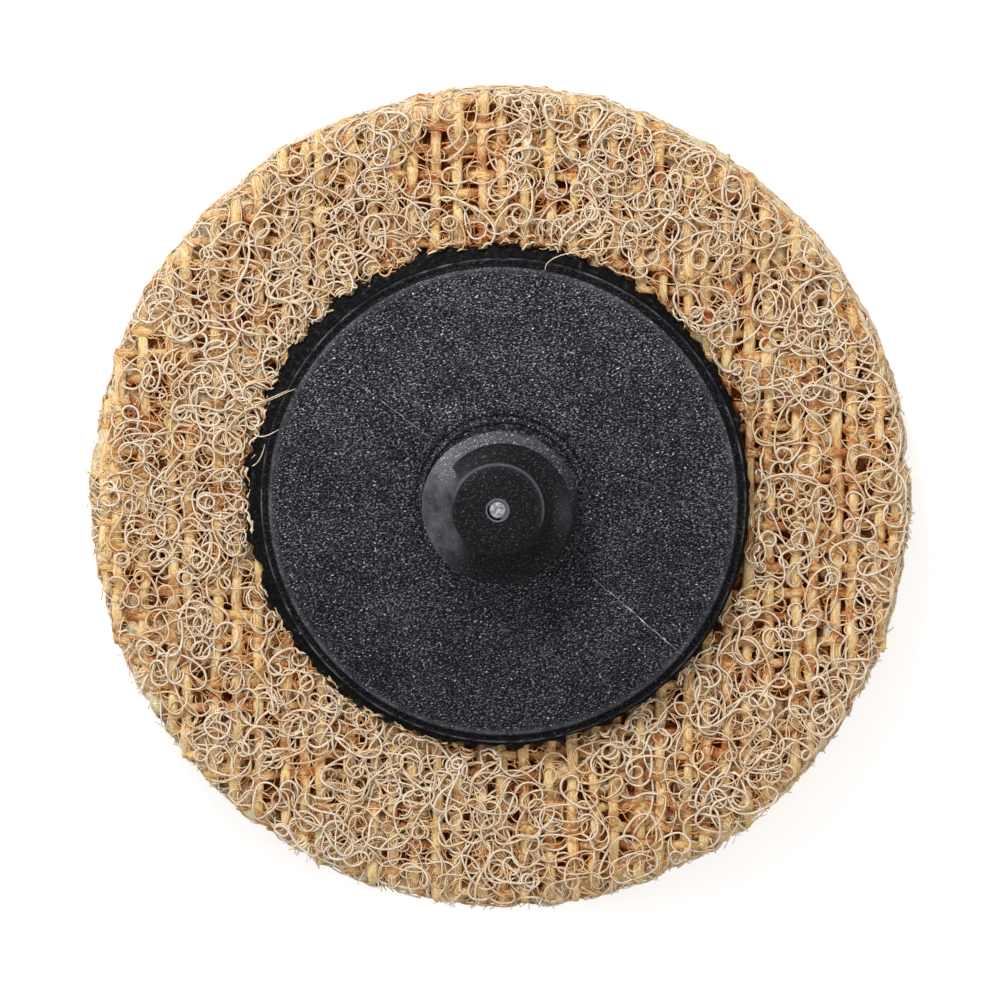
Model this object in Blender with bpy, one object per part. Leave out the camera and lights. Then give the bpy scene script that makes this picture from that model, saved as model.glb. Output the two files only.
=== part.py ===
# Quick-change surface conditioning disc, lying on its working face with the drive stud up.
# Metres, +Z up. The origin is the centre of the working face.
# From the floor up: lofty nonwoven web, woven scrim, adhesive film, moulded button with its stud.
import math

import bmesh
import bpy
from mathutils import Matrix, Vector

# Clearance that two bonded pieces keep between their surfaces.
BOND_GAP = 0.0002

# Nonwoven web
DISC_DIAMETER = 0.0508
WEB_THICKNESS = 0.0044
RIM_TUFT_DEPTH = 0.0005
WORKING_EDGE_ROUND = 0.0007
RIM_TUFTS = 46
RIM_SEGMENTS = 138
RIM_LEVELS = 5

# Woven scrim
SCRIM_GROUND = 0.0003
YARN_RELIEF = 0.00055
YARN_WIDTH = 0.00086
WARP_PITCH = 0.00138
WEFT_PITCH = 0.00145
OPEN_GAP_SPACING = 4
SCRIM_EDGE_INSET = 0.00035

# Adhesive film with the flash that squeezed out round the button
FILM_THICKNESS = 0.0003
FLASH_RISE = 0.0004
FLASH_NARROW = 0.0003
FLASH_WIDE = 0.0013
FLASH_SIDE = math.radians(112)
FLASH_TEETH = 44
FLASH_NOTCH_SHARE = 0.5
FLASH_SEGMENTS = 176

# Button plate
PLATE_DIAMETER = 0.0292
PLATE_THICKNESS = 0.0013
PLATE_EDGE_ROUND = 0.00018
LEDGE_WIDTH = 0.00045
LEDGE_THICKNESS = 0.0007
PLATE_SEGMENTS = 96

# Stud on the plate
COLLAR_DIAMETER = 0.0102
COLLAR_HEIGHT = 0.0003
STUD_HEIGHT = 0.0062
STUD_BASE_DIAMETER = 0.0072
STUD_TIP_DIAMETER = 0.0057
STUD_TIP_ROUND = 0.0003
TIP_CROWN = 0.00025
GATE_DIAMETER = 0.0015
GATE_DEPTH = 0.0002
GATE_NUB_DIAMETER = 0.001
GATE_NUB_HEIGHT = 0.0003
STUD_SEGMENTS = 60

# Thread on the stud, right-handed, from its start near the tip down to the collar
THREAD_DIAMETER = 0.0097
THREAD_START_DIAMETER = 0.0077
THREAD_PITCH = 0.0026
THREAD_START_ANGLE = math.radians(140)
THREAD_ROOT_WIDTH = 0.0019
THREAD_ROUNDNESS = 2.5
THREAD_WIDENING_TURNS = 0.5
THREAD_STEPS_PER_TURN = 48

# Levels
WEB_TOP = WEB_THICKNESS
SCRIM_BOTTOM = WEB_TOP + BOND_GAP
SCRIM_CREST = SCRIM_BOTTOM + SCRIM_GROUND + YARN_RELIEF
FILM_BOTTOM = SCRIM_CREST + BOND_GAP
FILM_TOP = FILM_BOTTOM + FILM_THICKNESS
PLATE_BOTTOM = FILM_TOP + BOND_GAP
PLATE_TOP = PLATE_BOTTOM + PLATE_THICKNESS
STUD_TIP = PLATE_TOP + STUD_HEIGHT

LEDGE_RADIUS = PLATE_DIAMETER / 2 + LEDGE_WIDTH
CUTTER_OVERRUN = 0.001


def clear_scene():
    for old in list(bpy.data.objects):
        bpy.data.objects.remove(old)


def plain_material(name, colour, roughness):
    made = bpy.data.materials.new(name)
    made.use_nodes = True
    shader = made.node_tree.nodes["Principled BSDF"]
    shader.inputs["Base Color"].default_value = (*colour, 1)
    shader.inputs["Roughness"].default_value = roughness
    shader.inputs["Metallic"].default_value = 0
    return made


def add_object(name, bm, material=None):
    """Turns a bmesh into a linked object and frees it."""
    mesh = bpy.data.meshes.new(name)
    bm.to_mesh(mesh)
    bm.free()
    made = bpy.data.objects.new(name, mesh)
    bpy.context.scene.collection.objects.link(made)
    if material:
        mesh.materials.append(material)
    return made


def smooth_round(obj, crease=math.radians(35)):
    obj.data.shade_smooth()
    obj.data.set_sharp_from_angle(angle=crease)


def cut(target, tool, operation):
    """Adds a Boolean of target with tool, which becomes a hidden helper."""
    modifier = target.modifiers.new(operation.title() + " " + tool.name, "BOOLEAN")
    modifier.operation = operation
    modifier.solver = "EXACT"
    modifier.object = tool
    tool.hide_render = True
    tool.display_type = "WIRE"


def turned(name, rings, segments, material=None):
    """A solid of revolution about Z, closed by a point at each end.

    rings holds (radius, z) from the lowest ring to the highest, outer side first.
    A radius is a number, or a function of the angle for a ragged outline.
    """
    bm = bmesh.new()
    angles = [2 * math.pi * step / segments for step in range(segments)]
    loops = []
    for radius, z in rings:
        reach = radius if callable(radius) else lambda angle, r=radius: r
        loops.append([
            bm.verts.new((reach(a) * math.cos(a), reach(a) * math.sin(a), z)) for a in angles
        ])
    for low, high in zip(loops, loops[1:]):
        for step in range(segments):
            after = (step + 1) % segments
            bm.faces.new((low[step], low[after], high[after], high[step]))
    bm.faces.new(reversed(loops[0]))
    bm.faces.new(loops[-1])
    return add_object(name, bm, material)


def wavy(angle, count, phase):
    """A tooth pattern from 0 to 1: two incommensurate waves, count of them round the circle."""
    main = math.sin(count * angle + phase)
    slow = math.sin((count // 3 + 2) * angle + 2.3 * phase)
    fast = math.sin((2 * count + 5) * angle + 0.7 * phase)
    return 0.5 + 0.5 * (0.45 * main + 0.35 * slow + 0.2 * fast)


def rim_radius(level):
    """The web's outline at one level: cut fibres draw back between the tufts."""
    phase = 1.7 + 1.9 * level ** 2
    return lambda angle: DISC_DIAMETER / 2 - RIM_TUFT_DEPTH * wavy(angle, RIM_TUFTS, phase)


def make_web(material):
    """The lofty nonwoven pad: a flat working face, a tufted rim and a rolled lower edge."""
    drawn_in = rim_radius(0)
    rings = [(lambda angle: drawn_in(angle) - WORKING_EDGE_ROUND, 0)]
    for level in range(RIM_LEVELS):
        share = level / (RIM_LEVELS - 1)
        z = WORKING_EDGE_ROUND + share * (WEB_THICKNESS - WORKING_EDGE_ROUND)
        rings.append((rim_radius(level), z))
    return turned("abrasive_web", rings, RIM_SEGMENTS, material)


def yarn_height(column, row):
    """Surface height above the ground at a node of the half-pitch grid.

    Even columns run along a warp yarn and even rows along a weft yarn. Where both are even
    the yarns cross, warp over weft and weft over warp by turns; where both are odd is a gap.
    """
    if column % 2 and row % 2:
        return 0
    if column % 2:
        return 0.45 * YARN_RELIEF
    if row % 2:
        return 0.75 * YARN_RELIEF
    warp_is_over = (column // 2 + row // 2) % 2 == 0
    return YARN_RELIEF if warp_is_over else 0.7 * YARN_RELIEF


def grid_reach(pitch):
    """Half-pitch steps from the centre that carry the grid past the disc's edge."""
    return 2 * math.ceil((DISC_DIAMETER / 2 + CUTTER_OVERRUN) / pitch)


def weave_sheet(material):
    """A square of the scrim: woven relief on top, flat below, filled flush under the button."""
    half_warp = WARP_PITCH / 2
    half_weft = WEFT_PITCH / 2
    columns = range(-grid_reach(WARP_PITCH), grid_reach(WARP_PITCH) + 1)
    rows = range(-grid_reach(WEFT_PITCH), grid_reach(WEFT_PITCH) + 1)
    flush_radius = LEDGE_RADIUS - max(half_warp, half_weft)
    bm = bmesh.new()
    grid = {}
    for column in columns:
        for row in rows:
            x = column * half_warp
            y = row * half_weft
            height = YARN_RELIEF if math.hypot(x, y) < flush_radius else yarn_height(column, row)
            z = SCRIM_BOTTOM + SCRIM_GROUND + height
            grid[column, row] = bm.verts.new((x, y, z))
    for column in columns[:-1]:
        for row in rows[:-1]:
            # Each cell is split from its yarn crossing to its gap, so the yarns read as ridges.
            ring = [(column, row), (column + 1, row), (column + 1, row + 1), (column, row + 1)]
            start = ring.index((column + column % 2, row + row % 2))
            crossing, side, gap, other = (grid[ring[(start + step) % 4]] for step in range(4))
            bm.faces.new((crossing, side, gap))
            bm.faces.new((crossing, gap, other))
    skirt = bmesh.ops.extrude_edge_only(bm, edges=[e for e in bm.edges if e.is_boundary])
    for vert in skirt["geom"]:
        if isinstance(vert, bmesh.types.BMVert):
            vert.co.z = SCRIM_BOTTOM
    bmesh.ops.holes_fill(bm, edges=[e for e in bm.edges if e.is_boundary])
    bmesh.ops.dissolve_limit(bm, angle_limit=math.radians(0.3), verts=bm.verts, edges=bm.edges)
    bmesh.ops.recalc_face_normals(bm, faces=bm.faces)
    return add_object("woven_scrim", bm, material)


def open_gap_places():
    """The gaps between yarns that run right through, spread over the ring that shows."""
    inner = LEDGE_RADIUS + FLASH_WIDE + WARP_PITCH
    outer = DISC_DIAMETER / 2 - SCRIM_EDGE_INSET - RIM_TUFT_DEPTH - WARP_PITCH
    columns = range(-grid_reach(WARP_PITCH) + 1, grid_reach(WARP_PITCH), 2)
    rows = range(-grid_reach(WEFT_PITCH) + 1, grid_reach(WEFT_PITCH), 2)
    places = []
    for column in columns:
        for row in rows:
            x = column * WARP_PITCH / 2
            y = row * WEFT_PITCH / 2
            on_lattice = (column // 2 + 2 * (row // 2)) % OPEN_GAP_SPACING == 0
            if on_lattice and inner < math.hypot(x, y) < outer:
                places.append((x, y))
    return places


def gap_cutter():
    """One square peg for each open gap, as wide as the yarns leave."""
    width = WARP_PITCH - YARN_WIDTH
    depth = WEFT_PITCH - YARN_WIDTH
    height = SCRIM_GROUND + YARN_RELIEF + 2 * CUTTER_OVERRUN
    middle = SCRIM_BOTTOM - CUTTER_OVERRUN + height / 2
    bm = bmesh.new()
    for x, y in open_gap_places():
        place = Matrix.Translation((x, y, middle)) @ Matrix.Diagonal((width, depth, height, 1))
        bmesh.ops.create_cube(bm, size=1, matrix=place)
    return add_object("gap_cutter", bm)


def make_scrim(material):
    """The woven backing, die-cut round and open between some of its yarns."""
    scrim = weave_sheet(material)
    trim = rim_radius(RIM_LEVELS)
    outline = turned(
        "scrim_outline",
        [
            (lambda angle: trim(angle) - SCRIM_EDGE_INSET, SCRIM_BOTTOM - CUTTER_OVERRUN),
            (lambda angle: trim(angle) - SCRIM_EDGE_INSET, SCRIM_CREST + CUTTER_OVERRUN),
        ],
        RIM_SEGMENTS,
    )
    cut(scrim, outline, "INTERSECT")
    cut(scrim, gap_cutter(), "DIFFERENCE")
    return scrim


def flash_radius(angle):
    """Outline of the squeezed-out adhesive: widest on one side, with teeth between the yarns."""
    lean = (0.5 + 0.5 * math.cos(angle - FLASH_SIDE)) ** 1.5
    width = FLASH_NARROW + (FLASH_WIDE - FLASH_NARROW) * lean
    bite = FLASH_NOTCH_SHARE * width * wavy(angle, FLASH_TEETH, 0.4)
    return LEDGE_RADIUS + BOND_GAP + width - bite


def make_film(material):
    """The adhesive film: a thin floor under the plate and a ragged bead round its ledge."""
    seat = LEDGE_RADIUS + BOND_GAP
    rings = [
        (flash_radius, FILM_BOTTOM),
        (flash_radius, FILM_BOTTOM + FILM_THICKNESS / 2),
        (lambda angle: 0.6 * flash_radius(angle) + 0.4 * seat, FILM_TOP + FLASH_RISE),
        (seat, FILM_TOP + FLASH_RISE),
        (seat, FILM_TOP),
    ]
    return turned("adhesive_film", rings, FLASH_SEGMENTS, material)


def corner_arc(radius_at, z_at, reach, start, end, steps):
    """Points of an arc about (radius_at, z_at), as (radius, z), from start to end in degrees."""
    points = []
    for step in range(steps + 1):
        angle = math.radians(start + (end - start) * step / steps)
        points.append((radius_at + reach * math.cos(angle), z_at + reach * math.sin(angle)))
    return points


def make_plate(material):
    """The button's flat plate with a thin ledge round its foot."""
    edge = PLATE_DIAMETER / 2
    rings = [
        (LEDGE_RADIUS, PLATE_BOTTOM),
        (LEDGE_RADIUS, PLATE_BOTTOM + LEDGE_THICKNESS),
        (edge, PLATE_BOTTOM + LEDGE_THICKNESS),
    ]
    rings += corner_arc(edge - PLATE_EDGE_ROUND, PLATE_TOP - PLATE_EDGE_ROUND, PLATE_EDGE_ROUND, 0, 90, 3)
    return turned("threaded_button", rings, PLATE_SEGMENTS, material)


def make_stud_core():
    """The stud without its thread: collar, tapered core, crowned tip and moulding gate mark."""
    tip_radius = STUD_TIP_DIAMETER / 2
    shoulder = STUD_TIP - TIP_CROWN - STUD_TIP_ROUND
    collar_top = PLATE_TOP + COLLAR_HEIGHT
    rings = [
        (COLLAR_DIAMETER / 2, PLATE_TOP - PLATE_THICKNESS / 2),
        (COLLAR_DIAMETER / 2, PLATE_TOP + COLLAR_HEIGHT / 2),
        (COLLAR_DIAMETER / 2 - COLLAR_HEIGHT / 2, collar_top),
        (STUD_BASE_DIAMETER / 2, collar_top),
    ]
    rings += corner_arc(tip_radius - STUD_TIP_ROUND, shoulder, STUD_TIP_ROUND, 0, 70, 3)
    rings += [
        (GATE_DIAMETER / 2, STUD_TIP),
        (GATE_DIAMETER / 2, STUD_TIP - GATE_DEPTH),
        (GATE_NUB_DIAMETER / 2, STUD_TIP - GATE_DEPTH),
        (GATE_NUB_DIAMETER / 2, STUD_TIP - GATE_DEPTH + GATE_NUB_HEIGHT),
    ]
    return turned("stud_core", rings, STUD_SEGMENTS)


def core_radius(z):
    """The tapered core's radius at height z."""
    foot = PLATE_TOP + COLLAR_HEIGHT
    share = (z - foot) / (STUD_TIP - TIP_CROWN - STUD_TIP_ROUND - foot)
    return STUD_BASE_DIAMETER / 2 + share * (STUD_TIP_DIAMETER - STUD_BASE_DIAMETER) / 2


def ridge_outline(root, crest):
    """The ridge's rounded section as (radius, rise), sunk into the core along its inner side."""
    half = THREAD_ROOT_WIDTH / 2
    sunk = root - 0.3 * STUD_TIP_DIAMETER / 2
    outline = [(sunk, -half)]
    for share in (-1, -0.78, -0.45, 0.45, 0.78, 1):
        outline.append((root + (crest - root) * (1 - abs(share) ** THREAD_ROUNDNESS), share * half))
    outline.append((sunk, half))
    return outline


def make_thread():
    """The coarse rounded ridge, swept down a right-hand helix from near the tip to the collar."""
    highest = STUD_TIP - TIP_CROWN - STUD_TIP_ROUND - THREAD_ROOT_WIDTH / 2
    lowest = PLATE_TOP + COLLAR_HEIGHT + THREAD_ROOT_WIDTH / 4
    turns = (highest - lowest) / THREAD_PITCH
    steps = round(turns * THREAD_STEPS_PER_TURN)
    bm = bmesh.new()
    sections = []
    for step in range(steps + 1):
        turn = turns * step / steps
        angle = THREAD_START_ANGLE - 2 * math.pi * turn
        z = highest - THREAD_PITCH * turn
        widened = min(1, turn / THREAD_WIDENING_TURNS)
        widened = math.sin(widened * math.pi / 2)
        crest = (THREAD_START_DIAMETER + (THREAD_DIAMETER - THREAD_START_DIAMETER) * widened) / 2
        outline = ridge_outline(core_radius(z), crest)
        spoke = Vector((math.cos(angle), math.sin(angle), 0))
        sections.append([bm.verts.new(spoke * r + Vector((0, 0, z + dz))) for r, dz in outline])
    for above, below in zip(sections, sections[1:]):
        for place in range(len(above)):
            after = (place + 1) % len(above)
            bm.faces.new((above[place], above[after], below[after], below[place]))
    bm.faces.new(reversed(sections[0]))
    bm.faces.new(sections[-1])
    bmesh.ops.recalc_face_normals(bm, faces=bm.faces)
    return add_object("thread_ridge", bm)


def make_button(material):
    """The moulded button: plate, stud and thread are one piece of plastic."""
    button = make_plate(material)
    cut(button, make_stud_core(), "UNION")
    cut(button, make_thread(), "UNION")
    return button


def main():
    clear_scene()
    fibre = plain_material("tan nonwoven fibre", (0.60, 0.40, 0.20), 0.9)
    cloth = plain_material("resin-stained yarn", (0.55, 0.33, 0.14), 0.85)
    glue = plain_material("black adhesive", (0.012, 0.011, 0.012), 0.45)
    plastic = plain_material("black moulded plastic", (0.035, 0.035, 0.04), 0.5)
    pieces = [make_web(fibre), make_scrim(cloth), make_film(glue), make_button(plastic)]
    for piece in pieces:
        smooth_round(piece)


main()
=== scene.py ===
# Looks of a surface conditioning disc that lies on its working face, stud up.
# Metres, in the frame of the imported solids. Pieces are numpy surfaces, put into meshes at the end.
import math

import bpy
import numpy as np
from mathutils import Matrix, Vector


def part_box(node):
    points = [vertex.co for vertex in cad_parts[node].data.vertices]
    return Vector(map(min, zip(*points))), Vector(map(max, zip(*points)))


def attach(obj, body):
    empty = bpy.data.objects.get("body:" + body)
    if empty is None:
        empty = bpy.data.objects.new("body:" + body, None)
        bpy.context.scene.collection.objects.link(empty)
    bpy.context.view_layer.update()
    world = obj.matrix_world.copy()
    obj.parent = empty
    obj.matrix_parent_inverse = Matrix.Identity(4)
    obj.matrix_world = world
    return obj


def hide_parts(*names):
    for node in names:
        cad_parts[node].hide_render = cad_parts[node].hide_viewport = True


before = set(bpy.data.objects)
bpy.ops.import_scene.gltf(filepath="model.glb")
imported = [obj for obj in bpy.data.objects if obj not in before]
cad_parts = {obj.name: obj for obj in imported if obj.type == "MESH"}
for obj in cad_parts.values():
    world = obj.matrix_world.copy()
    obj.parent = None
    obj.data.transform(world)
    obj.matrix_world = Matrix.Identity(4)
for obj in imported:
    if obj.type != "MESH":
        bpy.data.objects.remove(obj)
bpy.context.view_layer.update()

webLow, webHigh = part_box("abrasive_web")
scrimLow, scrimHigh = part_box("woven_scrim")
filmLow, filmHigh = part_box("adhesive_film")
buttonLow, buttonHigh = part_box("threaded_button")

mm = 0.001
discRadius = (webHigh[0] - webLow[0]) / 2
ledgeRadius = (buttonHigh[0] - buttonLow[0]) / 2
fullTurn = 2 * math.pi
plateTop = buttonLow[2] + 1.3 * mm

# The photograph, 1000 x 1000: where the button's axis meets its plate, and the scale there.
photo = {"axisAtPlate": (502.6, 501.7), "width": 1000, "mmPerPixel": 0.0618}


def photoPlace(column, row):
    # Pixel to metres on the plate: x grows with the column, y falls with the row.
    x = (column - photo["axisAtPlate"][0]) * photo["mmPerPixel"] * mm
    y = (photo["axisAtPlate"][1] - row) * photo["mmPerPixel"] * mm
    return x, y


# Shared mesh and noise helpers

def softNoise(u, v, seed):
    # Value noise from 0 to 1: a random height at each whole-number point, eased between its neighbours.
    size = 128
    heights = np.random.default_rng(seed).random((size, size))
    column = np.floor(u).astype(int)
    row = np.floor(v).astype(int)
    right = u - column
    up = v - row
    right = right * right * (3 - 2 * right)
    up = up * up * (3 - 2 * up)
    near = heights[column % size, row % size] * (1 - right) + heights[(column + 1) % size, row % size] * right
    far = heights[column % size, (row + 1) % size] * (1 - right)
    far = far + heights[(column + 1) % size, (row + 1) % size] * right
    return near * (1 - up) + far * up


def roughNoise(u, v, seed):
    # Three layers of softNoise, each twice as fine and half as strong as the one before.
    total = sum(softNoise(u * 2 ** layer, v * 2 ** layer, seed + layer) / 2 ** layer for layer in range(3))
    return total / 1.75


def noiseAround(angle, reach, seed):
    # Rough noise read along a circle of the given reach, so that it meets itself after a full turn.
    return roughNoise(reach * np.cos(angle) + 60, reach * np.sin(angle) + 60, seed)


def bell(value, middle, width):
    # A bell curve: 1 at the middle and falling to both sides.
    return np.exp(-((value - middle) / width) ** 2)


def anglesRound(count):
    return np.arange(count) * fullTurn / count


def eased(value, start, end):
    # 0 before start, 1 after end, and a smooth step between them.
    share = np.clip((value - start) / (end - start), 0, 1)
    return share * share * (3 - 2 * share)


def unit(vectors):
    return vectors / np.maximum(np.linalg.norm(vectors, axis=-1, keepdims=True), 1e-12)


triangleCounts = []


def makePiece(name, points, faceGroups, materials, faceMaterial=None, attributes=None):
    # faceGroups holds arrays of vertex numbers, one row for each face, all of a group with as many sides.
    mesh = bpy.data.meshes.new(name)
    mesh.vertices.add(len(points))
    mesh.vertices.foreach_set("co", points.astype(np.float32).ravel())
    corners = np.concatenate([group.ravel() for group in faceGroups])
    sides = np.concatenate([np.full(len(group), group.shape[1]) for group in faceGroups])
    starts = np.concatenate([[0], np.cumsum(sides)[:-1]])
    mesh.loops.add(len(corners))
    mesh.loops.foreach_set("vertex_index", corners.astype(np.int32))
    mesh.polygons.add(len(sides))
    mesh.polygons.foreach_set("loop_start", starts.astype(np.int32))
    mesh.polygons.foreach_set("use_smooth", np.ones(len(sides), dtype=bool))
    if faceMaterial is not None:
        mesh.polygons.foreach_set("material_index", faceMaterial.astype(np.int32))
    for attributeName, values in (attributes or {}).items():
        layer = mesh.attributes.new(attributeName, "FLOAT", "POINT")
        layer.data.foreach_set("value", values.astype(np.float32).ravel())
    for material in materials:
        mesh.materials.append(material)
    mesh.update(calc_edges=True)
    piece = bpy.data.objects.new(name, mesh)
    bpy.context.scene.collection.objects.link(piece)
    triangleCounts.append(int((sides - 2).sum()))
    print(f"{name}: {triangleCounts[-1]} triangles")
    return piece


def gridFaces(rows, columns):
    # Quads of a rows x columns grid of points whose columns close on themselves.
    row, column = np.meshgrid(np.arange(rows - 1), np.arange(columns), indexing="ij")
    after = (column + 1) % columns
    quads = np.stack([row * columns + column, row * columns + after,
                      (row + 1) * columns + after, (row + 1) * columns + column], axis=-1)
    return quads.reshape(-1, 4)


def turnedPiece(name, radius, height, materials, faceMaterial=None, attributes=None):
    # A closed shell about Z from arrays of radius and height, one row for each ring, from the top's
    # middle outwards, down and back in underneath. Flat rings at both ends close it.
    rows, columns = radius.shape
    angle = anglesRound(columns)
    points = np.stack([radius * np.cos(angle), radius * np.sin(angle), height], axis=-1).reshape(-1, 3)
    quads = gridFaces(rows, columns)[:, ::-1]
    firstRing = np.arange(columns)[None, :]
    lastRing = (rows - 1) * columns + np.arange(columns)[None, ::-1]
    groups = [quads, np.concatenate([firstRing, lastRing])]
    return makePiece(name, points, groups, materials, faceMaterial, attributes)


def carriedTubes(centres, radii, sides, up=(0, 0, 1), phase=0.0, start=0):
    # A ring of points carried along each path. The ring lies square to the path: its first axis is
    # path direction x up, its second is the first axis x path direction. The ends are flat caps.
    count, steps = centres.shape[:2]
    ahead = unit(np.gradient(centres, axis=1))
    across = unit(np.cross(ahead, np.broadcast_to(np.asarray(up, dtype=float), ahead.shape)))
    rise = np.cross(across, ahead)
    turn = phase + anglesRound(sides)
    cosine = np.cos(turn)[None, None, :, None]
    sine = np.sin(turn)[None, None, :, None]
    ring = cosine * across[:, :, None, :] + sine * rise[:, :, None, :]
    points = centres[:, :, None, :] + radii[:, :, None, None] * ring
    offsets = start + np.arange(count)[:, None, None] * steps * sides
    quads = (gridFaces(steps, sides)[None, :, ::-1] + offsets).reshape(-1, 4)
    firstRing = np.arange(sides)[None, None, :] + offsets
    lastRing = (steps - 1) * sides + np.arange(sides)[None, None, ::-1] + offsets
    caps = np.concatenate([firstRing, lastRing]).reshape(-1, sides)
    return points.reshape(-1, 3), quads, caps


# Material helpers

def newMaterial(name, roughness, specular):
    made = bpy.data.materials.new(name)
    made.use_nodes = True
    shader = made.node_tree.nodes["Principled BSDF"]
    shader.inputs["Roughness"].default_value = roughness
    shader.inputs["Specular IOR Level"].default_value = specular
    return made, made.node_tree, shader


def placedNoise(tree, size, detail, turn=0.0, rough=0.6):
    # Noise on Object coordinates whose features have the given size in x, y and z, turned about Z.
    coordinates = tree.nodes.new("ShaderNodeTexCoord")
    mapping = tree.nodes.new("ShaderNodeMapping")
    mapping.vector_type = "TEXTURE"
    mapping.inputs["Scale"].default_value = size
    mapping.inputs["Rotation"].default_value = (0, 0, turn)
    noise = tree.nodes.new("ShaderNodeTexNoise")
    noise.inputs["Scale"].default_value = 1
    noise.inputs["Detail"].default_value = detail
    noise.inputs["Roughness"].default_value = rough
    tree.links.new(coordinates.outputs["Object"], mapping.inputs["Vector"])
    tree.links.new(mapping.outputs["Vector"], noise.inputs["Vector"])
    return noise.outputs["Fac"]


def combined(tree, operation, first, second):
    node = tree.nodes.new("ShaderNodeMath")
    node.operation = operation
    for socket, value in zip(node.inputs, (first, second)):
        if isinstance(value, bpy.types.NodeSocket):
            tree.links.new(value, socket)
        else:
            socket.default_value = value
    return node.outputs[0]


def crossingStrands(tree, thickness, length, turns):
    # The highest of several long thin noises, each turned its own way: it looks like matted filaments.
    highest = None
    for turn in turns:
        strand = placedNoise(tree, (thickness, length, thickness), 2, math.radians(turn))
        highest = strand if highest is None else combined(tree, "MAXIMUM", highest, strand)
    return highest


def colourRamp(tree, factor, stops):
    # stops holds (place, colour) from 0 to 1; colours are linear.
    ramp = tree.nodes.new("ShaderNodeValToRGB")
    while len(ramp.color_ramp.elements) < len(stops):
        ramp.color_ramp.elements.new(1)
    for element, (place, colour) in zip(ramp.color_ramp.elements, stops):
        element.position = place
        element.color = (*colour, 1)
    tree.links.new(factor, ramp.inputs["Fac"])
    return ramp.outputs["Color"]


def mixedColour(tree, factor, first, second, blend="MIX"):
    mix = tree.nodes.new("ShaderNodeMix")
    mix.data_type = "RGBA"
    mix.blend_type = blend
    sockets = {socket.identifier: socket for socket in mix.inputs}
    for name, value in (("Factor_Float", factor), ("A_Color", first), ("B_Color", second)):
        if isinstance(value, bpy.types.NodeSocket):
            tree.links.new(value, sockets[name])
        elif isinstance(value, tuple):
            sockets[name].default_value = (*value, 1)
        else:
            sockets[name].default_value = value
    return next(socket for socket in mix.outputs if socket.identifier == "Result_Color")


def addBump(tree, shader, height, strength, distance):
    bump = tree.nodes.new("ShaderNodeBump")
    bump.inputs["Strength"].default_value = strength
    bump.inputs["Distance"].default_value = distance
    tree.links.new(height, bump.inputs["Height"])
    tree.links.new(bump.outputs["Normal"], shader.inputs["Normal"])


def attributeValue(tree, name):
    node = tree.nodes.new("ShaderNodeAttribute")
    node.attribute_name = name
    return node.outputs["Fac"]


def yarnMaterial(name, streakSize, stops):
    # Resin-stained yarn: filament streaks along it, hairs across it, reddish-brown patches of resin,
    # and painted shade where the yarn dips low, read from its shade attribute.
    made, tree, shader = newMaterial(name, 0.8, 0.01)
    streaks = placedNoise(tree, streakSize, 3, rough=0.7)
    hairs = crossingStrands(tree, 0.07 * mm, 0.6 * mm, (35, 100, 155))
    fuzz = combined(tree, "ADD", combined(tree, "MULTIPLY", streaks, 0.62),
                    combined(tree, "MULTIPLY", hairs, 0.38))
    filaments = colourRamp(tree, fuzz, stops)
    patches = placedNoise(tree, (1.5 * mm,) * 3, 5, rough=0.7)
    patchTint = colourRamp(tree, patches, [(0.46, (1, 1, 1)), (0.60, (0.60, 0.31, 0.24))])
    shadeLevel = attributeValue(tree, "shade")
    patchShare = colourRamp(tree, shadeLevel, [(0.85, (1, 1, 1)), (1.0, (0.25, 0.25, 0.25))])
    stained = mixedColour(tree, patchShare, filaments, patchTint, "MULTIPLY")
    # Painted shade: darker where the shade attribute is low.
    paintedDepthShade = colourRamp(tree, shadeLevel, [(0.05, (0.32, 0.085, 0.028)), (0.60, (1, 1, 1))])
    tree.links.new(mixedColour(tree, 1.0, stained, paintedDepthShade, "MULTIPLY"), shader.inputs["Base Color"])
    addBump(tree, shader, fuzz, 1.0, 0.16 * mm)
    return made


def fibreMaterial(name, stops, roughness, specular):
    # Curled fibre: colour by the fibre's own shade, with fine mottling along it.
    made, tree, shader = newMaterial(name, roughness, specular)
    shade = attributeValue(tree, "shade")
    base = colourRamp(tree, shade, stops)
    mottling = placedNoise(tree, (0.4 * mm,) * 3, 3)
    tint = colourRamp(tree, mottling, [(0.35, (0.84, 0.73, 0.62)), (0.55, (1, 1, 1))])
    tree.links.new(mixedColour(tree, 1.0, base, tint, "MULTIPLY"), shader.inputs["Base Color"])
    addBump(tree, shader, mottling, 0.3, 0.04 * mm)
    return made


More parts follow.
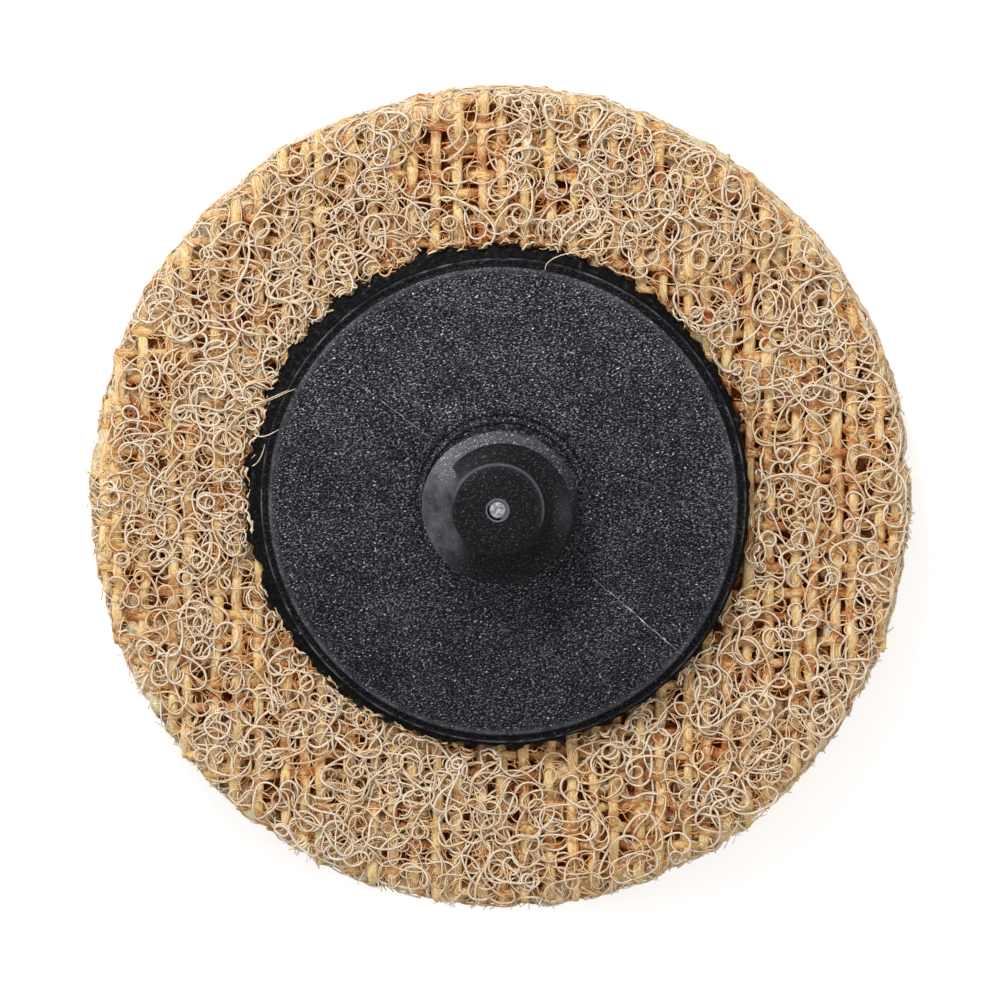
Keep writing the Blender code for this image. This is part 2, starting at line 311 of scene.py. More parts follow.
def webMaterial():
    # Resin-bonded mass of the web: matted filaments, tan where they stand up and nearly black in the
    # pores as painted shade, over reddish-brown clumps of resin.
    made, tree, shader = newMaterial("resin-bonded web", 0.85, 0.0)
    matted = crossingStrands(tree, 0.09 * mm, 0.75 * mm, (12, 63, 118, 160))
    base = colourRamp(tree, matted, [
        (0.47, (0.20, 0.058, 0.016)), (0.56, (0.56, 0.25, 0.08)),
        (0.63, (0.85, 0.52, 0.21)), (0.72, (0.98, 0.78, 0.46)),
    ])
    clumps = placedNoise(tree, (1.1 * mm,) * 3, 4, rough=0.65)
    clumpTint = colourRamp(tree, clumps, [(0.44, (1, 1, 1)), (0.60, (0.62, 0.32, 0.24))])
    resin = mixedColour(tree, 1.0, base, clumpTint, "MULTIPLY")
    shadeLevel = attributeValue(tree, "shade")
    # Golden and paler where the shade attribute is high, on high clumps and towards the rim: partly golden
    # fuzz, partly painted light.
    gold = colourRamp(tree, matted, [
        (0.47, (0.94, 0.60, 0.28)), (0.57, (1.0, 0.82, 0.50)), (0.68, (1.0, 0.93, 0.75)),
    ])
    goldAndLightShare = colourRamp(tree, shadeLevel, [(0.68, (0, 0, 0)), (0.92, (0.9, 0.9, 0.9))])
    resin = mixedColour(tree, goldAndLightShare, resin, gold)
    # Painted shade: darker where the mass lies low.
    paintedDepthShade = colourRamp(tree, shadeLevel, [
        (0.0, (0.22, 0.046, 0.014)), (0.40, (0.98, 0.60, 0.39)), (0.7, (1, 1, 1)),
    ])
    tree.links.new(mixedColour(tree, 1.0, resin, paintedDepthShade, "MULTIPLY"), shader.inputs["Base Color"])
    addBump(tree, shader, matted, 1.0, 0.25 * mm)
    return made


def frostedPlasticMaterial():
    # Black moulded plastic with a spark-eroded face: short light flecks on near black, which are
    # painted glints, and its bump. One attribute gives the share of these glints; the other lightens the
    # smooth plastic between, mostly with painted sheen and highlights, and is cut by painted shadow lines.
    made, tree, shader = newMaterial("frosted black plastic", 0.42, 0.055)
    flecks = placedNoise(tree, (0.165 * mm, 0.082 * mm, 0.135 * mm), 2, math.radians(14), 0.68)
    clouds = placedNoise(tree, (4.0 * mm,) * 3, 3)
    raised = combined(tree, "ADD", flecks, combined(tree, "MULTIPLY", clouds, 0.12))
    frostAndGlints = colourRamp(tree, raised, [
        (0.46, (0.0022, 0.0024, 0.0036)), (0.535, (0.0095, 0.0100, 0.0134)), (0.580, (0.022, 0.0226, 0.0278)),
        (0.613, (0.041, 0.042, 0.049)), (0.65, (0.083, 0.084, 0.094)), (0.70, (0.18, 0.18, 0.195)),
        (0.78, (0.46, 0.46, 0.48)),
    ])
    # Brighter sparkling spots over the flecks: painted glints.
    glintSpots = placedNoise(tree, (0.17 * mm, 0.12 * mm, 0.17 * mm), 1, math.radians(25))
    frostAndGlints = mixedColour(tree, 1.0, frostAndGlints, colourRamp(tree, glintSpots, [
        (0.68, (0, 0, 0)), (0.77, (0.80, 0.81, 0.83)),
    ]), "ADD")
    toneAndSheen = attributeValue(tree, "toneAndSheen")
    smooth = colourRamp(tree, toneAndSheen, [
        (0.0, (0.0004, 0.0004, 0.0010)), (0.42, (0.022, 0.022, 0.026)), (0.84, (0.105, 0.105, 0.112)),
        (1.0, (0.30, 0.30, 0.31)),
    ])
    share = combined(tree, "MAXIMUM", attributeValue(tree, "frostAndGlints"), 0.14)
    tree.links.new(mixedColour(tree, share, smooth, frostAndGlints, "ADD"), shader.inputs["Base Color"])
    addBump(tree, shader, flecks, 0.5, 0.05 * mm)
    return made


def grainedMaterial(name, size, stops, roughness, specular, bump):
    made, tree, shader = newMaterial(name, roughness, specular)
    grain = placedNoise(tree, (size,) * 3, 4)
    tree.links.new(colourRamp(tree, grain, stops), shader.inputs["Base Color"])
    addBump(tree, shader, grain, 0.7, bump)
    return made


# Outline of the die-cut disc

outline = {
    "proud": 0.08 * mm,
    "offCentre": 0.37 * mm,        # the button isn't quite in the disc's middle
    "offCentreTowards": math.radians(181),
    "bulge": 0.20 * mm,
    "bulgeAt": math.radians(-66),
    "bulgeSpread": 0.6,
    "lumps": 0.55 * mm,            # how much the cut edge goes in and out
    "lumpReach": 22,               # a larger number makes the lumps smaller
}


def discReach(angle):
    # Nearly round: the offset adds its cosine, the bulge a bell curve, and noise its soft lumps.
    away = (angle - outline["bulgeAt"] + math.pi) % fullTurn - math.pi
    bulge = outline["bulge"] * bell(away, 0, outline["bulgeSpread"])
    offset = outline["offCentre"] * np.cos(angle - outline["offCentreTowards"])
    lumps = outline["lumps"] * (noiseAround(angle, outline["lumpReach"], 71) - 0.5)
    return discRadius + outline["proud"] + offset + bulge + lumps


# Backing cloth

weave = {
    # Warp yarns run up the photograph and weft yarns across it, each kind a pitch apart.
    "warp": {
        "seed": 100, "pitch": 1.38 * mm, "halfWidth": 0.34 * mm, "raise": 0.10 * mm, "crimp": 0.13 * mm,
    },
    "weft": {
        "seed": 400, "pitch": 1.45 * mm, "halfWidth": 0.30 * mm, "raise": -0.10 * mm, "crimp": 0.22 * mm,
    },
    "pitchScatter": 0.10,
    "rimGap": 0.4 * mm,            # no yarn lies nearer to the rim than this
    "halfThickness": 0.22 * mm,
    "wander": 0.26 * mm,           # how far a yarn strays sideways
    "wanderSize": 2.1 * mm,
    "sink": 0.22 * mm,             # how far the whole cloth sinks and rises
    "sinkSize": 1.6 * mm,
    "droop": 0.35 * mm,            # how far it bends down at the rim
    "droopOver": 0.8 * mm,
    "sides": 10,
    "step": 0.29 * mm,
    "hiddenStep": 0.90 * mm,       # under the button
    "plies": 3,
    "plyDepth": 0.14,
    "plyTwist": 2.6 * mm,          # length of one full twist
    "edgeInset": 0.20 * mm,
    "insetSpread": (-0.1, 1.7),    # each yarn's share of the inset
}


def stationsAlong(reach, across):
    # Places along a yarn from -reach to reach, close together in the ring that shows.
    hidden = max(0.0, (ledgeRadius - 0.5 * mm) ** 2 - across ** 2) ** 0.5
    inner = np.arange(-hidden, hidden, weave["hiddenStep"])
    outer = np.linspace(hidden, reach, max(4, round((reach - hidden) / weave["step"])))
    if len(inner) > 1:
        return np.concatenate([-outer[::-1], inner[1:], outer])
    return np.concatenate([-outer[:0:-1], outer])


def yarnPath(number, kind, other, isWarp):
    # A yarn runs straight but for a soft sideways wander, and rises and falls as a cosine of the
    # crossing yarns' pitch, over one and under the next.
    rng = np.random.default_rng(kind["seed"] + number)
    offset = number * kind["pitch"] + rng.normal(0, weave["pitchScatter"]) * kind["pitch"]
    reach = discRadius
    if abs(offset) > reach - weave["rimGap"]:
        return None
    end = (reach ** 2 - offset ** 2) ** 0.5
    along = stationsAlong(end, offset)
    noise = softNoise(along / weave["wanderSize"], np.full_like(along, number * 1.7), kind["seed"])
    side = offset + weave["wander"] * (noise - 0.5)
    lift = kind["crimp"] * np.cos(math.pi * along / other["pitch"] + math.pi * number)
    x, y = (side, along) if isWarp else (along, side)
    # The ends follow the die-cut outline.
    radius = np.hypot(x, y)
    allowed = discReach(np.arctan2(y, x)) - weave["edgeInset"] * rng.uniform(*weave["insetSpread"])
    stretch = 1 + (allowed / reach - 1) * eased(radius, 0.7 * reach, 0.95 * reach)
    middle = (scrimLow[2] + scrimHigh[2]) / 2 + kind["raise"]
    sign = 1 if isWarp else -1
    noise = roughNoise(x / weave["sinkSize"] + 90, y / weave["sinkSize"] + 90, kind["seed"] + 3)
    height = middle + sign * lift + weave["sink"] * (noise - 0.45)
    droop = weave["droop"] * eased(radius, reach - weave["droopOver"], reach)
    return np.stack([x * stretch, y * stretch, height - droop], axis=-1)[None], along, rng


def yarnTube(path, along, rng, kind, start):
    # Oval section, flattened to its half thickness, with a few twisted plies on it.
    sides = weave["sides"]
    swell = 0.78 + 0.42 * roughNoise(along / (1.5 * mm), np.full_like(along, rng.random() * 50), 31)
    taper = 1 - 0.35 * eased(np.abs(along), np.abs(along).max() - 0.6 * mm, np.abs(along).max())
    width = kind["halfWidth"] * swell * taper
    points, quads, caps = carriedTubes(path, np.ones((1, len(along))), sides, phase=-math.pi / 2, start=start)
    rings = points.reshape(len(along), sides, 3)
    turn = -math.pi / 2 + anglesRound(sides)
    twist = fullTurn * along[:, None] / weave["plyTwist"] + rng.random() * fullTurn
    ply = 1 + weave["plyDepth"] * (np.abs(np.cos(weave["plies"] / 2 * (turn[None, :] + twist))) - 0.5)
    outward = rings - path[0][:, None, :]
    scale = np.stack([width, width, np.full_like(width, weave["halfThickness"])], axis=-1)[:, None, :]
    rings = path[0][:, None, :] + outward * scale * ply[:, :, None]
    # Shade attribute: painted shade by height in the cloth, darker where the yarn lies low, and raised
    # towards the rim, partly for paler yarn ends and partly as painted light.
    shade = (rings[:, :, 2] - scrimLow[2]) / (scrimHigh[2] - scrimLow[2])
    shade = shade + 0.45 * eased(np.hypot(rings[:, :, 0], rings[:, :, 1]), discRadius - 2.0 * mm, discRadius)
    return rings.reshape(-1, 3), quads, caps, shade.ravel()


def makeScrim(warpMaterial, weftMaterial):
    parts = []
    start = 0
    for kind, other in ((weave["warp"], weave["weft"]), (weave["weft"], weave["warp"])):
        isWarp = kind is weave["warp"]
        last = math.ceil(discRadius / kind["pitch"])
        for number in range(-last, last + 1):
            made = yarnPath(number, kind, other, isWarp)
            if made is None:
                continue
            points, quads, caps, shade = yarnTube(*made, kind, start)
            parts.append((points, quads, caps, shade, 0 if isWarp else 1))
            start += len(points)
    points, quads, caps, shades, materialOf = zip(*parts)
    faceMaterial = np.repeat(materialOf + materialOf, [len(faces) for faces in quads + caps])
    piece = makePiece(
        "scrim_yarns", np.concatenate(points), [np.concatenate(quads), np.concatenate(caps)],
        [warpMaterial, weftMaterial], faceMaterial, {"shade": np.concatenate(shades)},
    )
    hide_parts("woven_scrim")
    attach(piece, "root")


# Web

web = {
    "segments": 480,
    "topRows": 42,
    "rimRows": 18,
    "underRows": 14,
    "clumpSize": 1.0 * mm,
    "clumpRise": 1.5 * mm,
    "rimTuft": 0.55 * mm,
    "rimInset": 0.13 * mm,
    "edgeRound": 0.7 * mm,
    "underRelief": 0.16 * mm,
    "topDrop": 0.20 * mm,          # how far the top falls towards the rim
    "topDropOver": 0.7 * mm,
}


def rimRoll(height):
    # The lower edge is rounded: the inset grows as one minus a square root below the round's height.
    return web["edgeRound"] * (1 - np.sqrt(np.clip(height / web["edgeRound"], 0, 1)))


def makeWeb(material):
    # The profile runs from the top's middle outwards, down the rim and back in underneath. The top
    # swells into clumps that come up through the cloth, the rim into tufts, the underside is pitted.
    columns = web["segments"]
    angle = anglesRound(columns)
    edge = discReach(angle) - web["rimInset"]
    inner = ledgeRadius - 1.0 * mm
    topShare = np.concatenate([[0.02, 0.5], np.linspace(inner / discRadius, 1, web["topRows"])])
    topRadius = topShare[:, None] * edge[None, :]
    x = topRadius * np.cos(angle)
    y = topRadius * np.sin(angle)
    clump = roughNoise(x / web["clumpSize"] + 300, y / web["clumpSize"] + 300, 7)
    shows = eased(topRadius, ledgeRadius - 0.3 * mm, ledgeRadius + 0.5 * mm)
    fuller = 0.10 * eased(topRadius, discRadius - 3.0 * mm, discRadius - 0.5 * mm)
    rise = np.clip(1.9 * (clump + fuller - 0.415), -0.3, 0.62)
    topHeight = webHigh[2] - 0.15 * mm + shows * web["clumpRise"] * rise
    topHeight = topHeight - web["topDrop"] * eased(topRadius, discRadius - web["topDropOver"], discRadius)

    # The noise comes back to its start after 128 points, so 256 of them close on themselves round the rim.
    rimShare = np.linspace(0, 1, web["rimRows"] + 2)[1:-1]
    rimHeight = (webHigh[2] - 0.5 * mm) * (1 - rimShare)[:, None] + 0.05 * mm + np.zeros((1, columns))
    tuft = roughNoise(256 * angle[None, :] / fullTurn + 0 * rimHeight, rimHeight / (0.5 * mm) + 40, 17) - 0.5
    rimRadius = edge[None, :] + web["rimTuft"] * tuft - 0.8 * rimRoll(rimHeight)

    underShare = np.linspace(0.975, 0.02, web["underRows"])
    underRadius = underShare[:, None] * edge[None, :]
    x = underRadius * np.cos(angle)
    y = underRadius * np.sin(angle)
    pits = roughNoise(x / (0.8 * mm) + 300, y / (0.8 * mm) + 300, 27)
    underHeight = 0.10 * mm + web["underRelief"] * pits + 0.15 * mm * eased(underShare, 0.95, 0.975)[:, None]

    radius = np.concatenate([topRadius, rimRadius, underRadius])
    height = np.concatenate([topHeight, rimHeight, underHeight])
    # The shade attribute paints shade and light: darker where the top lies low between clumps, in the rim's
    # hollows and in the pits underneath, and higher on clumps and towards the rim.
    shade = np.concatenate([
        np.clip(0.42 + rise, 0, 1) + 0.48 * eased(topRadius, discRadius - 1.4 * mm, discRadius - 0.3 * mm),
        np.clip(0.75 + 1.1 * tuft, 0, 1),
        np.clip(1.2 - pits, 0, 1),
    ])
    piece = turnedPiece("web_mass", radius, height, [material], None, {"shade": shade})
    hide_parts("abrasive_web")
    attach(piece, "root")


# Flash of the adhesive, which the fibres reach over

glue = {
    "segments": 720,
    "narrow": 0.10 * mm,
    "wide": 0.92 * mm,
    "side": math.radians(148),      # where the flash is widest
    "notch": 0.45 * mm,
    "thickness": 0.3 * mm,
    "gap": 0.07 * mm,
}


def flashWidth(angle):
    return glue["narrow"] + (glue["wide"] - glue["narrow"]) * (0.5 + 0.5 * np.cos(angle - glue["side"]))


# Curled fibres

paleFibres = {
    "names": ("curled_fibres_a", "curled_fibres_b"),
    "count": 590,              # fibres in each piece
    "steps": 40,
    "radius": (0.054 * mm, 0.106 * mm),
    "length": (3.8 * mm, 9.0 * mm),
    "loopRadius": (0.36 * mm, 0.95 * mm),
    "loops": (0.7, 2.2),       # how often a fibre changes between a tight loop and a long bow
    "base": 0.45 * mm,         # where a fibre's ends go in, above the scrim's lowest point
    "lift": (0.40 * mm, 0.85 * mm),
    "tilt": 0.16,
    "shade": (0.42, 1.0),
    "thinned": 0.60,           # how much sparser they are over the thin patches
    "seed": 1200,
}
tanFibres = {
    "names": ("needled_fibres",),
    "count": 640,
    "steps": 30,
    "radius": (0.042 * mm, 0.070 * mm),
    "length": (2.6 * mm, 7.0 * mm),
    "loopRadius": (0.28 * mm, 0.95 * mm),
    "loops": (0.5, 2.0),
    "base": 0.10 * mm,
    "lift": (0.40 * mm, 0.85 * mm),
    "tilt": 0.2,
    "shade": (0.0, 1.0),
    "thinned": 0.0,
    "seed": 2200,
}
lint = {
    "names": ("short_hairs",),
    "count": 2300,
    "steps": 7,
    "radius": (0.026 * mm, 0.044 * mm),
    "length": (0.6 * mm, 2.4 * mm),
    "loopRadius": (0.4 * mm, 2.5 * mm),
    "loops": (0.3, 0.8),
    "base": 0.62 * mm,
    "lift": (0.10 * mm, 0.40 * mm),
    "tilt": 0.2,
    "shade": (0.1, 1.0),
    "thinned": 0.0,
    "seed": 2900,
}
fibreCover = {
    "inner": ledgeRadius + 0.12 * mm,
    "overFlash": 0.55,         # they reach over this share of the flash
    "waver": 1.3 * mm,
    "scatter": 0.7 * mm,       # how much further from the ring's inner edge some fibres turn back
    "outerScatter": 0.35 * mm,
    "crowding": 0.4 * mm,      # how softly fibres are pressed in at the ring's edges
    "ripple": 0.12 * mm,
    "lowest": scrimLow[2] - 0.1 * mm,
    "highest": scrimHigh[2] + 0.75 * mm,
    "flashRaise": filmHigh[2] - 0.1 * mm - scrimLow[2],
    "rimDrop": 0.5 * mm,
    "patchSize": 4.2 * mm,
    # Where the photograph shows the cloth through fewer fibres: pixel and reach in pixels.
    "thinPatches": [((845, 450), 75), ((232, 655), 60), ((440, 165), 60), ((615, 820), 55), ((700, 760), 45)],
}


def scatteredSeeds(rng, count, thinned):
    # Random places in the ring, thinned out where broad soft noise is low and on the thin patches.
    tries = count * 8
    outer = discRadius - 0.3 * mm
    radius = np.sqrt(rng.uniform(fibreCover["inner"] ** 2, outer ** 2, tries))
    angle = rng.uniform(0, fullTurn, tries)
    x = radius * np.cos(angle)
    y = radius * np.sin(angle)
    cover = 0.45 + 0.55 * softNoise(x / fibreCover["patchSize"] + 60, y / fibreCover["patchSize"] + 60, 5)
    for place, reach in fibreCover["thinPatches"]:
        spotX, spotY = photoPlace(*place)
        away = np.hypot(x - spotX, y - spotY) / (reach * photo["mmPerPixel"] * mm)
        cover = cover * (1 - thinned * np.exp(-away ** 2))
    kept = np.flatnonzero(rng.random(tries) < cover)[:count]
    return x[kept], y[kept]


def drawn(rng, limits, count):
    # One value between the limits for each fibre.
    return rng.uniform(*limits, (count, 1))


def waves(rng, share, limits, count):
    # A sine along each fibre, which has its own start and a number of waves between the limits.
    return np.sin(fullTurn * (share * drawn(rng, limits, count) + rng.random((count, 1))))


def curlPaths(rng, count, settings):
    # A path in its own plane: the heading is the running sum of a curvature that goes between a tight
    # loop's and a long bow's as a smooth step of a sine, and for a quarter of the paths turns the other
    # way once. The place is the running sum of the heading's cosine and sine.
    total = drawn(rng, settings["length"], count)
    tight = np.exp(drawn(rng, [math.log(radius) for radius in settings["loopRadius"]], count))
    share = np.linspace(0, 1, settings["steps"])[None, :]
    wave = 0.5 + 0.5 * waves(rng, share, settings["loops"], count)
    looped = 0.20 + 0.80 * eased(wave, 0.12, 0.54)
    wobble = 1 + 0.25 * waves(rng, share, (2, 5), count)
    flipAt = drawn(rng, (0.3, 0.7), count)
    turning = np.where(rng.random((count, 1)) < 0.25, np.tanh(9 * (share - flipAt)), 1.0)
    curvature = rng.choice([-1, 1], (count, 1)) * looped * wobble * turning / tight
    stepLength = total / settings["steps"]
    heading = drawn(rng, (0, fullTurn), count) + np.cumsum(curvature * stepLength, axis=1)
    x = np.cumsum(np.cos(heading) * stepLength, axis=1)
    y = np.cumsum(np.sin(heading) * stepLength, axis=1)
    return x - x.mean(axis=1, keepdims=True), y - y.mean(axis=1, keepdims=True), share


def pressedIn(radius, low, high, softness):
    # Past a soft distance from either limit, the rest of the way shrinks as an exponential.
    outer = high - softness * np.exp(np.minimum(high - softness - radius, 0) / softness)
    pressed = np.where(radius > high - softness, outer, radius)
    inner = low + softness * np.exp(np.minimum(pressed - low - softness, 0) / softness)
    return np.where(pressed < low + softness, inner, pressed)


def ringLimits(angle):
    # Smallest and largest radius of the curled fibres: partly over the flash, wavering, to the cut rim.
    waver = fibreCover["waver"] * (noiseAround(angle, 32, 81) - 0.5)
    inner = fibreCover["inner"] + (1 - fibreCover["overFlash"]) * flashWidth(angle) + waver
    return inner, discReach(angle)


fibreSides = 3
# Share of the shade round a fibre with its first side uppermost: its underside is darker, which is painted
# shade.
topLight = 0.86 + 0.14 * np.cos(anglesRound(fibreSides))


def layFibres(name, centres, radii, shade, material, sides=fibreSides, up=(0, 0, 1), phase=0.0, light=1.0):
    # One piece of tubes. Shade has a value for each place along each fibre, light one for each side.
    points, quads, caps = carriedTubes(centres, radii, sides, up, phase)
    shade = shade[:, :, None] * (light * np.ones(sides))
    piece = makePiece(name, points, [quads, caps], [material], None, {"shade": shade})
    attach(piece, "root")


def makeCurledFibres(settings, part, material):
    # The paths lie over the cloth: each rises as a sine from its dipping ends, waves a little up and
    # down, and leans one way.
    rng = np.random.default_rng(settings["seed"] + part)
    seedX, seedY = scatteredSeeds(rng, settings["count"], settings["thinned"])
    count = len(seedX)
    x, y, share = curlPaths(rng, count, settings)
    lean = rng.uniform(-settings["tilt"], settings["tilt"], (2, count, 1))
    lift = drawn(rng, settings["lift"], count)
    ripple = fibreCover["ripple"] * waves(rng, share, (1, 4), count)
    arch = np.sin(math.pi * share)
    height = scrimLow[2] + settings["base"] + lift * arch ** 0.4 + ripple * arch
    height = height + (lean[0] * x + lean[1] * y) * arch ** 0.5
    x = x + seedX[:, None]
    y = y + seedY[:, None]
    # A fibre that leaves the ring moves back along its seed's radius, by about as much as it is over.
    inner, outer = ringLimits(np.arctan2(y, x))
    radius = np.hypot(x, y)
    tooFarIn = np.clip((inner - radius).max(axis=1, keepdims=True), 0, None)
    tooFarOut = np.clip((radius - outer).max(axis=1, keepdims=True), 0, None)
    moved = (tooFarIn - tooFarOut) * drawn(rng, (0.8, 1.1), count) / np.hypot(seedX, seedY)[:, None]
    x = x + moved * seedX[:, None]
    y = y + moved * seedY[:, None]
    radius = np.hypot(x, y)
    inner, outer = ringLimits(np.arctan2(y, x))
    overFlash = 1 - eased(radius, inner, inner + 0.8 * mm)
    inner = inner + fibreCover["scatter"] * rng.random((count, 1)) ** 1.5
    outer = outer - fibreCover["outerScatter"] * rng.random((count, 1))
    pressed = pressedIn(radius, inner, outer, fibreCover["crowding"])
    height = np.clip(height, fibreCover["lowest"], fibreCover["highest"])
    height = np.maximum(height, fibreCover["lowest"] + fibreCover["flashRaise"] * overFlash)
    height = height - fibreCover["rimDrop"] * eased(pressed, discRadius - 0.9 * mm, discRadius + 0.3 * mm)
    centres = np.stack([x * pressed / radius, y * pressed / radius, height], axis=-1)
    thickness = drawn(rng, settings["radius"], count) * (0.6 + 0.4 * arch ** 0.3)
    # Each fibre has its own shade, darker towards its ends where they dip into the cloth: painted shade.
    shade = drawn(rng, settings["shade"], count) * (0.7 + 0.3 * arch ** 0.5)
    layFibres(settings["names"][part], centres, thickness, shade, material, phase=math.pi / 2, light=topLight)


rimFibres = {
    "count": 660, "steps": 22, "radius": (0.050 * mm, 0.085 * mm), "length": (1.8 * mm, 5.5 * mm),
    "loopRadius": (0.4 * mm, 1.6 * mm), "loops": (0.5, 1.6), "proud": 0.28 * mm, "shade": (0.32, 0.98),
}


def makeRimFibres(material):
    # The curls are laid on the rim's cylinder: one axis runs round it, the other up it.
    rng = np.random.default_rng(3300)
    count = rimFibres["count"]
    around, up, share = curlPaths(rng, count, rimFibres)
    angle = drawn(rng, (0, fullTurn), count) + around / discRadius
    top = scrimHigh[2] - 0.6 * mm
    height = pressedIn(drawn(rng, (0.2 * mm, top), count) + up, 0.10 * mm, top, 0.35 * mm)
    arch = np.sin(math.pi * share)
    proud = rimFibres["proud"] * (arch ** 0.6 - 0.45) * drawn(rng, (0.4, 1.3), count)
    radius = discReach(angle) - web["rimInset"] + proud - 0.8 * rimRoll(height)
    outward = np.stack([np.cos(angle), np.sin(angle), np.zeros_like(angle)], axis=-1)
    centres = outward * radius[:, :, None]
    centres[:, :, 2] = height
    thickness = drawn(rng, rimFibres["radius"], count) * (0.6 + 0.4 * arch ** 0.4)
    # Each fibre has its own shade, darker towards its ends where they tuck into the rim: painted shade.
    shade = drawn(rng, rimFibres["shade"], count) * (0.8 + 0.2 * arch)
    layFibres("rim_fibres", centres, thickness, shade, material, up=outward)


rimTufts = {
    "count": 1500, "steps": 7, "radius": (0.050 * mm, 0.090 * mm), "reach": (0.05 * mm, 0.50 * mm),
    "root": 0.9 * mm, "drop": (-0.10 * mm, 0.5 * mm), "shade": (0.35, 0.92),
}


def makeRimTufts(material):
    # Cut ends of fibres that point outwards all round the upper edge and droop over it: the way out is
    # even along the fibre, the drop grows as its square, and the end leans to one side.
    rng = np.random.default_rng(3900)
    count = rimTufts["count"]
    share = np.linspace(0, 1, rimTufts["steps"])[None, :]
    angle = drawn(rng, (0, fullTurn), count)
    lean = rng.normal(0, 0.026, (count, 1)) * share + rng.normal(0, 0.022, (count, 1)) * share ** 2
    end = drawn(rng, rimTufts["reach"], count) * eased(noiseAround(angle, 60, 61), 0.36, 0.72)
    radius = discReach(angle) - rimTufts["root"] + (rimTufts["root"] + end - 0.16 * mm) * share
    height = drawn(rng, (webHigh[2] - 1.0 * mm, scrimHigh[2] + 0.05 * mm), count)
    height = height - drawn(rng, rimTufts["drop"], count) * share ** 2
    centres = np.stack([radius * np.cos(angle + lean), radius * np.sin(angle + lean), height], axis=-1)
    thickness = drawn(rng, rimTufts["radius"], count) * (1 - 0.45 * share)
    shade = drawn(rng, rimTufts["shade"], count) * np.ones_like(share)
    layFibres("rim_tufts", centres, thickness, shade, material)


underFibres = {
    "count": 560, "steps": 20, "radius": (0.070 * mm, 0.100 * mm), "length": (3.5 * mm, 8.5 * mm),
    "loopRadius": (0.6 * mm, 2.4 * mm), "loops": (0.5, 1.5), "shade": (0.0, 0.9),
}


def makeUnderFibres(material):
    # The working face: a flat tangle of longer curls just above the surface that the disc lies on.
    rng = np.random.default_rng(4400)
    count = underFibres["count"]
    x, y, share = curlPaths(rng, count, underFibres)
    radius = (discRadius - 0.7 * mm) * np.sqrt(rng.random((count, 1)))
    angle = drawn(rng, (0, fullTurn), count)
    x = x + radius * np.cos(angle)
    y = y + radius * np.sin(angle)
    reach = np.maximum(np.hypot(x, y), 1e-9)
    edge = discReach(np.arctan2(y, x)) - 0.8 * mm
    pulled = pressedIn(reach, -1.0, edge, 0.8 * mm) / reach
    arch = np.sin(math.pi * share)
    thickness = drawn(rng, underFibres["radius"], count) * (0.6 + 0.4 * arch ** 0.4)
    height = 0.22 * mm - 0.16 * mm * arch ** 0.5 * drawn(rng, (0.3, 1.0), count)
    height = np.maximum(height, thickness + 0.005 * mm)
    centres = np.stack([x * pulled, y * pulled, height], axis=-1)
    shade = drawn(rng, underFibres["shade"], count) * np.ones_like(share)
    layFibres("working_face_fibres", centres, thickness, shade, material)


# Adhesive

def makeGlue(material):
    # The flash's outline is the ledge plus a width that leans to one side. It runs further out in
    # the gaps between yarns than on them: a sum of cosines of the weave's pitches. It climbs the
    # ledge's edge and falls towards the cloth.
    columns = glue["segments"]
    angle = anglesRound(columns)
    seat = ledgeRadius + glue["gap"]
    lean = 0.5 + 0.5 * np.cos(angle - glue["side"])
    width = flashWidth(angle)
    x = (seat + width) * np.cos(angle)
    y = (seat + width) * np.sin(angle)
    gaps = np.cos(fullTurn * x / weave["warp"]["pitch"]) + np.cos(fullTurn * y / weave["weft"]["pitch"])
    ragged = 1.6 * (noiseAround(angle, 26, 9) - 0.5) + 0.9 * (noiseAround(angle, 70, 10) - 0.5) - 0.25 * gaps
    edge = np.maximum(seat + width + glue["notch"] * ragged * (0.35 + 0.65 * lean), seat + 0.08 * mm)
    floor = filmLow[2]
    lump = 0.16 * mm * (noiseAround(angle, 18, 12) - 0.5)
    crest = filmHigh[2] + lump - 0.08 * mm
    rows = [
        (0.3 * mm, floor + glue["thickness"]),
        (ledgeRadius - 0.5 * mm, floor + glue["thickness"]),
        (ledgeRadius + 0.004 * mm, buttonLow[2] - 0.01 * mm),
        (ledgeRadius + 0.012 * mm, crest + 0.10 * mm),
        (seat - 0.02 * mm, crest + 0.04 * mm),
        (seat + 0.15 * (edge - seat), crest - 0.04 * mm),
        (seat + 0.40 * (edge - seat), crest - 0.05 * mm),
        (seat + 0.65 * (edge - seat), crest - 0.13 * mm),
        (seat + 0.86 * (edge - seat), crest - 0.25 * mm),
        (edge, floor + 0.12 * mm),
        (edge - 0.03 * mm, floor - 0.12 * mm),
        (seat - 0.3 * mm, floor),
        (0.3 * mm, floor),
    ]
    radius = np.array([np.broadcast_to(row[0], columns) for row in rows])
    height = np.array([np.broadcast_to(row[1], columns) for row in rows])
    piece = turnedPiece("glue_film", radius, height, [material])
    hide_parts("adhesive_film")
    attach(piece, "root")


# Button

button = {
    "segments": 192,
    "plateRadius": 14.55 * mm,
    "ledgeThickness": 0.7 * mm,
    "edgeRound": 0.24 * mm,
    "collarRadius": 5.1 * mm,
    "collarHeight": 0.3 * mm,
    "studBase": 3.6 * mm,
    "studTip": 2.85 * mm,
    "tipRound": 0.3 * mm,
    "tipCrown": 0.25 * mm,
    "gateRadius": 0.62 * mm,
    "nubRadius": 0.48 * mm,
    "gateDepth": 0.2 * mm,
    "nubProud": 0.1 * mm,
    "threadCrest": 4.85 * mm,
    "threadStart": 3.85 * mm,
    "threadPitch": 2.6 * mm,
    "threadHalfWidth": 0.95 * mm,
    "threadRoundness": 2.5,
    "startAngle": math.radians(140),
    "wideningTurns": 0.7,
    "lowerNarrowing": 0.34 * mm,
    "wallRows": 104,
}


